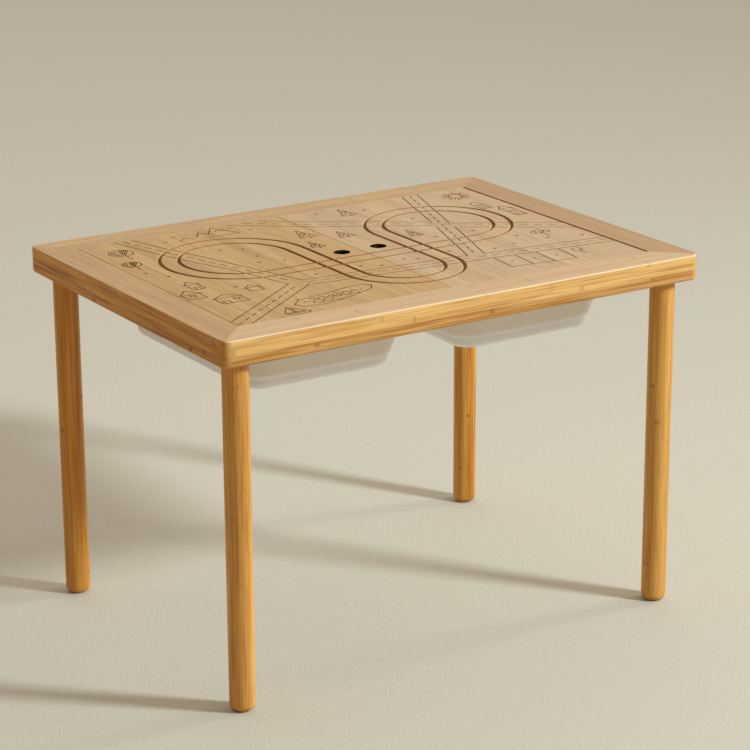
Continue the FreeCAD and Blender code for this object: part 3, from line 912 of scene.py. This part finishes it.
def knuckle_marks(g, a, t, strip_id, streak, seed, knuckles):
    """How strongly a knuckle shows: short marks at random places along each strip."""
    row = g.math("FLOOR", g.math("DIVIDE", t, KNUCKLE_ROW))
    other = g.random(g.vector(strip_id, row, seed + 5.0))
    knuckle_at = g.math("ADD", g.math("DIVIDE", a, KNUCKLE_SPACING), g.math("MULTIPLY", other, 5.0))
    knuckle = g.math("ABSOLUTE", g.math("SUBTRACT", g.math("FRACT", knuckle_at), 0.5))
    ragged = g.math("ADD", knuckle, g.mapped(streak, 0.3, 0.7, -0.012, 0.012))
    strong = g.mapped(g.random(g.vector(strip_id, seed, row)), 0.35, 1.0, 0.0, knuckles)
    return g.mapped(ragged, 0.002, 0.014, strong, 0.0)


def laminated(g, axes, light, dark, layers, seed, contrast, sink, knuckles, half_run):
    """Colour of glued bamboo strips, and the noises of their fibres and streaks."""
    a, c, t = (g.axis[axis] for axis in axes)
    strip, layer = layers
    across_layers = g.math("SUBTRACT", TOP_Z, t) if axes[2] == "z" else t
    layer_at = g.math("DIVIDE", across_layers, layer)
    layer_id = g.math("FLOOR", layer_at)
    slip = g.math("MULTIPLY", g.random(g.vector(layer_id, seed, 3.0)), 7.0)
    strip_at = g.math("ADD", g.math("DIVIDE", c, strip), slip)
    strip_id = g.math("FLOOR", strip_at)
    tone = g.random(g.vector(layer_id, strip_id, seed))

    broad = g.grain(a, c, t, 5.0, 90.0, slip=g.math("MULTIPLY", tone, 9.0))
    fibre = g.grain(a, c, t, 22.0, 1100.0, detail=2.0)
    streak = g.grain(a, c, t, 9.0, 420.0, detail=2.0)
    blend = g.math("ADD", g.math("MULTIPLY", tone, 0.5 * contrast),
                   g.mapped(broad, 0.32, 0.68, 0.0, 0.5 * contrast))
    blend = g.math("ADD", blend, g.mapped(streak, 0.42, 0.72, 0.0, 0.75 * contrast))
    blend = g.math("ADD", blend, g.math("MULTIPLY", layer_id, sink))
    if half_run is not None:
        calm = g.mapped(g.math("ABSOLUTE", a), half_run - 0.014, half_run - 0.005, 0.0, 0.85)
        blend = g.math("ADD", blend, g.math("MULTIPLY", calm, g.math("SUBTRACT", 0.5, blend)))
    colour = g.mix(blend, light, dark)
    colour = g.shade(colour, g.mapped(fibre, 0.4, 0.8, 1.04, 0.82))

    for at, weight in ((strip_at, 0.16), (layer_at, 0.22)):
        side = g.math("ABSOLUTE", g.math("SUBTRACT", g.math("FRACT", at), 0.5))
        colour = g.shade(colour, g.mapped(side, 0.472, 0.498, 1.0, 1.0 - weight * contrast))
    marks = knuckle_marks(g, a, t, strip_id, streak, seed, knuckles)
    colour = g.mix(marks, colour, g.mix(1.0, dark, KNUCKLE_TINT, "MULTIPLY"))
    return colour, fibre, streak


def groove_scorch_and_shade(g, down):
    """Tint of cut wood: browner further down, partly scorch and partly painted shade, and fainter where it
    faces +X, towards the light.
    """
    deep = g.mapped(down, *GROOVE_TINT_DEEPENS, 0.0, 1.0)
    tint = g.mix(deep, GROOVE_EDGE_SCORCH_AND_SHADE, GROOVE_FLOOR_SCORCH_AND_SHADE)
    tint = g.mix(g.mapped(down, *GROOVE_TINT_STARTS, 0.0, 1.0), WHITE, tint)
    normal = g.add("ShaderNodeTexCoord", output="Normal")
    facing_x = g.add("ShaderNodeSeparateXYZ", {0: normal})
    return g.mix(g.mapped(facing_x, 0.25, 0.8, 0.0, 0.75), tint, WHITE)


def rabbet_shade_share(g, c, inner):
    """Share of painted shade in the rabbet: one inside the rails' inner faces and above the step that the
    boards rest on, else none.
    """
    inside = g.mapped(g.math("ABSOLUTE", c), inner, inner + 0.0004, 1.0, 0.0)
    above_step = g.mapped(g.axis["z"], board_low.z - 0.001, board_low.z, 0.0, 1.0)
    return g.math("MULTIPLY", inside, above_step)


def bamboo(name, axes, light, dark, layers, seed, contrast=1.0, sink=0.0, knuckles=0.9,
           half_run=None, top_sheen_colour=None, edge_highlight_colour=None, grooved=False, inner=None):
    """Laminated bamboo: strips of their own tone, fibres, glue lines and knuckles.

    Axes names the axes of the grain, of the strips' width and of the layers, such as "xyz". Layers
    is a strip's width and a layer's height, and sink is how much darker each layer is than the one
    above it. Half_run is how far the grain runs from the middle to the ends, where its pattern
    calms down. The top face takes on some of the top colour, a painted sheen, and its rounded edge
    some of the edge colour, a painted highlight. If grooved, the cut wood below the top is browner,
    partly scorch and partly painted shade, less so on faces towards +X. Inner is the distance from
    the middle to the rails' inner faces, and the rabbet inside it is darkened as painted shade.
    """
    g = Graph(name)
    colour, fibre, streak = laminated(
        g, axes, light, dark, layers, seed, contrast, sink, knuckles, half_run
    )
    down = g.math("SUBTRACT", TOP_Z, g.axis["z"])
    # Painted sheen: the top face mixed toward the top colour.
    if top_sheen_colour is not None:
        colour = g.mix(g.mapped(down, *TOP_SHEEN_ENDS, 0.6, 0.0), colour, top_sheen_colour)
    # Painted highlight along the rounded top edge.
    if edge_highlight_colour is not None:
        below_top = g.mapped(down, *EDGE_HIGHLIGHT_STARTS, 0.0, 0.6)
        above_face = g.mapped(down, *EDGE_HIGHLIGHT_ENDS, 1.0, 0.0)
        colour = g.mix(g.math("MULTIPLY", below_top, above_face), colour, edge_highlight_colour)
    # Painted shade in the rabbet.
    if inner is not None:
        rabbet_shaded = g.mix(1.0, colour, RABBET_SHADE, "MULTIPLY")
        colour = g.mix(rabbet_shade_share(g, g.axis[axes[1]], inner), colour, rabbet_shaded)
    # Grooves: browner, partly scorch and partly painted shade.
    if grooved:
        colour = g.mix(1.0, colour, groove_scorch_and_shade(g, down), "MULTIPLY")
    lower_roughness = TOP_ROUGHNESS if grooved else SIDE_ROUGHNESS
    roughness = g.math("ADD", g.mapped(streak, 0.3, 0.7, -0.05, 0.05),
                       g.mapped(down, *GLOSS_STARTS, TOP_ROUGHNESS, lower_roughness))
    height = g.math("ADD", fibre, g.math("MULTIPLY", streak, 0.7))
    surface = {
        "Base Color": colour,
        "Roughness": roughness,
        "Specular IOR Level": 0.3,
    }
    return g.finish(surface, height, 0.00006)


def burnt(name, colour_a, colour_b):
    """Wood browned or charred by the heat of cutting."""
    g = Graph(name)
    spots = g.noise(g.place, 420.0, 3.0)
    colour = g.mix(g.mapped(spots, 0.35, 0.65, 0.0, 1.0), colour_a, colour_b)
    surface = {"Base Color": colour, "Roughness": 0.8, "Specular IOR Level": 0.08}
    return g.finish(surface, spots, 0.00005)


def milky_plastic(name):
    """Milky moulded plastic with a faint grain, warmer and darker above the step in the wall as painted
    shade and warm bounce under the rail.
    """
    g = Graph(name)
    cloud = g.noise(g.place, 14.0, 2.0)
    grain = g.noise(g.place, 1500.0, 2.0)
    colour = g.mix(g.mapped(cloud, 0.3, 0.7, 0.0, 1.0), PLASTIC_DARK, PLASTIC_LIGHT)
    # Painted shade: the wall above the step darker and warmer, as under the rail.
    wall = g.mapped(g.axis["z"], TRAY_STEP_Z, TRAY_STEP_Z + 0.006, 0.0, 1.0)
    colour = g.mix(wall, colour, g.mix(1.0, colour, TRAY_WALL_SHADE, "MULTIPLY"))
    surface = {
        "Base Color": colour,
        "Roughness": g.mapped(grain, 0.3, 0.7, 0.34, 0.46),
        "Subsurface Weight": 0.35,
        "Subsurface Radius": (1.0, 0.9, 0.75),
        "Subsurface Scale": 0.006,
        "Specular IOR Level": 0.5,
    }
    return g.finish(surface, grain, 0.00003)


def plain_wood(name, along, light, dark, seed):
    """Straight-grained wood for the ledges and the dowels."""
    g = Graph(name)
    scale = {axis: 260.0 for axis in "xyz"}
    scale[along] = 9.0
    stretched = g.vector(*[g.math("MULTIPLY", g.axis[axis], scale[axis]) for axis in "xyz"])
    moved = g.add("ShaderNodeVectorMath", {0: stretched, 1: (seed, seed, seed)}, operation="ADD")
    grain = g.noise(moved, 1.0, 4.0, 0.6)
    colour = g.mix(g.mapped(grain, 0.3, 0.7, 0.0, 1.0), light, dark)
    surface = {"Base Color": colour, "Roughness": g.mapped(grain, 0.3, 0.7, 0.5, 0.62)}
    return g.finish(surface, grain, 0.00006)


def brushed_steel(name):
    """Zinc-plated steel with fine turning marks."""
    g = Graph(name)
    marks = g.noise(g.place, 900.0, 3.0)
    colour = g.mix(g.mapped(marks, 0.35, 0.65, 0.0, 1.0), STEEL_DARK, STEEL_LIGHT)
    surface = {
        "Base Color": colour,
        "Metallic": 1.0,
        "Roughness": g.mapped(marks, 0.3, 0.7, 0.28, 0.42),
    }
    return g.finish(surface, marks, 0.00003)


def floor_material(name):
    """A plain pale floor with the faintest fleck."""
    g = Graph(name)
    fleck = g.noise(g.place, 260.0, 3.0)
    colour = g.mix(g.mapped(fleck, 0.3, 0.7, 0.0, 1.0), FLOOR_LOW, FLOOR_HIGH)
    return g.finish({"Base Color": colour, "Roughness": 0.9, "Specular IOR Level": 0.2}, fleck, 0.0008)


def board_bamboo(name, light, dark, seed, grooved=False):
    """Bamboo for a board, with its strips running from front to back."""
    return bamboo(name, "yxz", light, dark, BOARD_LAYERS, seed, contrast=0.6, knuckles=0.32, grooved=grooved)


frame_along_x = bamboo(
    "frame_bamboo_along_x", "xyz", FRAME_LIGHT, FRAME_DARK, FRAME_LAYERS, 1.0, contrast=0.8, sink=0.34,
    knuckles=1.0, half_run=cad_high.x, top_sheen_colour=FRAME_TOP_SHEEN, edge_highlight_colour=EDGE_HIGHLIGHT_COLOUR,
)
frame_along_y = bamboo(
    "frame_bamboo_along_y", "yxz", END_LIGHT, END_DARK, FRAME_LAYERS, 2.0, sink=-0.1,
    half_run=cad_high.y, top_sheen_colour=END_TOP_SHEEN, inner=cad_high.x - RAIL_WIDTH * MM,
)
frame_at_back = bamboo(
    "frame_bamboo_at_back", "xyz", FRAME_LIGHT, FRAME_DARK, FRAME_LAYERS, 6.0, contrast=0.8, sink=0.34,
    half_run=cad_high.x, top_sheen_colour=END_TOP_SHEEN,
)
leg_bamboo = {
    node: bamboo("bamboo_" + node, "zyx", light, dark, LEG_LAYERS, 3.0, contrast=0.75)
    for node, (light, dark) in LEG_LIT_AND_SHADED_TONES.items()
}
left_bamboo = board_bamboo("board_bamboo_left", LEFT_BOARD_LIGHT, LEFT_BOARD_DARK, 4.0)
left_groove = board_bamboo("groove_bamboo_left", LEFT_BOARD_LIGHT, LEFT_BOARD_DARK, 4.0, grooved=True)
right_bamboo = board_bamboo("board_bamboo_right", RIGHT_BOARD_LIGHT, RIGHT_BOARD_DARK, 5.0)
right_groove = board_bamboo("groove_bamboo_right", RIGHT_BOARD_LIGHT, RIGHT_BOARD_DARK, 5.0, grooved=True)
engraving = burnt("engraved_line", ENGRAVED_DARK, ENGRAVED_LIGHT)
charred = burnt("charred_edge", CHARRED_DARK, CHARRED_LIGHT)
plastic = milky_plastic("tray_plastic")
ledge_x = plain_wood("ledge_wood_along_x", "x", LEDGE_LIGHT, LEDGE_DARK, 1.0)
ledge_y = plain_wood("ledge_wood_along_y", "y", LEDGE_LIGHT, LEDGE_DARK, 2.0)
dowel_wood = plain_wood("dowel_wood", "x", DOWEL_LIGHT, DOWEL_DARK, 3.0)
steel = brushed_steel("steel")


# ---------------------------------------------------------------- build

GROOVES = track_grooves()
ROADS = roads()
relief_board("left_board_relief", "left_board", -HOLE_X, GROOVES, ROADS + left_scenery(), "left_lid",
             [left_bamboo, engraving, charred, left_groove])
relief_board("right_board_relief", "right_board", HOLE_X, GROOVES, ROADS + right_scenery(), "right_lid",
             [right_bamboo, engraving, charred, right_groove])

RAILS = {
    "front_rail": (HALF_LENGTH, HALF_WIDTH, lambda u, v, z: (u, -v, z), frame_along_x),
    "back_rail": (HALF_LENGTH, HALF_WIDTH, lambda u, v, z: (-u, v, z), frame_at_back),
    "left_end_rail": (HALF_WIDTH, HALF_LENGTH, lambda u, v, z: (-v, -u, z), frame_along_y),
    "right_end_rail": (HALF_WIDTH, HALF_LENGTH, lambda u, v, z: (v, u, z), frame_along_y),
}
for node, (half_run, half_across, place, material) in RAILS.items():
    piece(node + "_eased", rail(half_run, half_across, place), "frame", [node], [material])

for node, material in leg_bamboo.items():
    leg(node + "_turned", node, material)

tray("left_tray_moulded", "left_tray", "left_bin", plastic)
tray("right_tray_moulded", "right_tray", "right_bin", plastic)

CAD_MATERIALS = {
    "centre_rail": frame_along_y,
    "ledge_screws": steel,
    "leg_bolts": steel,
    "leg_inserts": steel,
    "mitre_dowels": dowel_wood,
    "centre_rail_dowels": dowel_wood,
}
for side in ("left", "right"):
    for name, wood in (("front", ledge_x), ("back", ledge_x), ("end", ledge_y), ("centre", ledge_y)):
        CAD_MATERIALS[f"{name}_ledge_{side}"] = wood
for name, material in CAD_MATERIALS.items():
    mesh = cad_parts[name].data
    mesh.materials.clear()
    mesh.materials.append(material)


# ---------------------------------------------------------------- floor, light and camera

FLOOR_HALF = 14.0
LAMP_TARGET = Vector((0, 0, 0.3))
ROOM_DARK = (0.17, 0.09, 0.035, 1)
ROOM_BRIGHT = (1.04, 0.99, 0.92, 1)
ROOM_BRIGHT_SIDE = Vector((0.72, 0.64, 0.27))
CAMERA_PLACE = (-1.7977, -2.854, 1.4072)
CAMERA_AZIMUTH = math.radians(-32.49)
CAMERA_ELEVATION = math.radians(17.823)
CAMERA_ROLL = math.radians(-0.302)


def lamp(name, place, size, strength, colour):
    """A round lamp aimed at the table whose light doesn't weaken with distance, only turns."""
    data = bpy.data.lights.new(name, "AREA")
    data.shape = "DISK"
    data.size = size
    data.energy = strength * math.pi
    data.color = colour
    data.use_nodes = True
    nodes = data.node_tree.nodes
    falloff = nodes.new("ShaderNodeLightFalloff")
    falloff.inputs["Strength"].default_value = 1.0
    data.node_tree.links.new(falloff.outputs["Constant"], nodes["Emission"].inputs["Strength"])
    obj = bpy.data.objects.new(name, data)
    obj.rotation_mode = "QUATERNION"
    obj.location = place
    obj.rotation_quaternion = (LAMP_TARGET - Vector(place)).to_track_quat("-Z", "Y")
    bpy.context.scene.collection.objects.link(obj)


bm = bmesh.new()
bmesh.ops.create_grid(bm, x_segments=8, y_segments=8, size=FLOOR_HALF)
floor_mesh = bpy.data.meshes.new("floor")
bm.to_mesh(floor_mesh)
bm.free()
floor_mesh.materials.append(floor_material("floor"))
floor = bpy.data.objects.new("floor", floor_mesh)
bpy.context.scene.collection.objects.link(floor)

lamp("key", (1.7, -2.1, 1.95), 0.45, 2.85, (0.88, 1.0, 1.08))
lamp("side", (3.2, -0.45, 1.8), 0.6, 0.6, (1.0, 0.95, 0.84))

world = bpy.data.worlds.new("studio")
bpy.context.scene.world = world
world.use_nodes = True
tree = world.node_tree
direction = tree.nodes.new("ShaderNodeTexCoord").outputs["Generated"]
facing = tree.nodes.new("ShaderNodeVectorMath")
facing.operation = "DOT_PRODUCT"
facing.inputs[1].default_value = ROOM_BRIGHT_SIDE
tree.links.new(direction, facing.inputs[0])
share = tree.nodes.new("ShaderNodeMapRange")
share.inputs[1].default_value = -0.75
share.inputs[2].default_value = 0.85
tree.links.new(facing.outputs["Value"], share.inputs[0])
room = tree.nodes.new("ShaderNodeMix")
room.data_type = "RGBA"
room.inputs[6].default_value = ROOM_DARK
room.inputs[7].default_value = ROOM_BRIGHT
tree.links.new(share.outputs[0], room.inputs[0])
tree.links.new(room.outputs[2], tree.nodes["Background"].inputs["Color"])

camera_data = bpy.data.cameras.new("camera")
camera_data.lens = 124.42
camera_data.sensor_width = 36.0
camera = bpy.data.objects.new("camera", camera_data)
camera.location = CAMERA_PLACE
back = Vector(
    (
        math.sin(CAMERA_AZIMUTH) * math.cos(CAMERA_ELEVATION),
        -math.cos(CAMERA_AZIMUTH) * math.cos(CAMERA_ELEVATION),
        math.sin(CAMERA_ELEVATION),
    )
)
camera.rotation_mode = "QUATERNION"
camera.rotation_quaternion = (-back).to_track_quat("-Z", "Y") @ Quaternion((0, 0, 1), CAMERA_ROLL)
bpy.context.scene.collection.objects.link(camera)
bpy.context.scene.camera = camera
bpy.context.scene.view_settings.view_transform = "Standard"
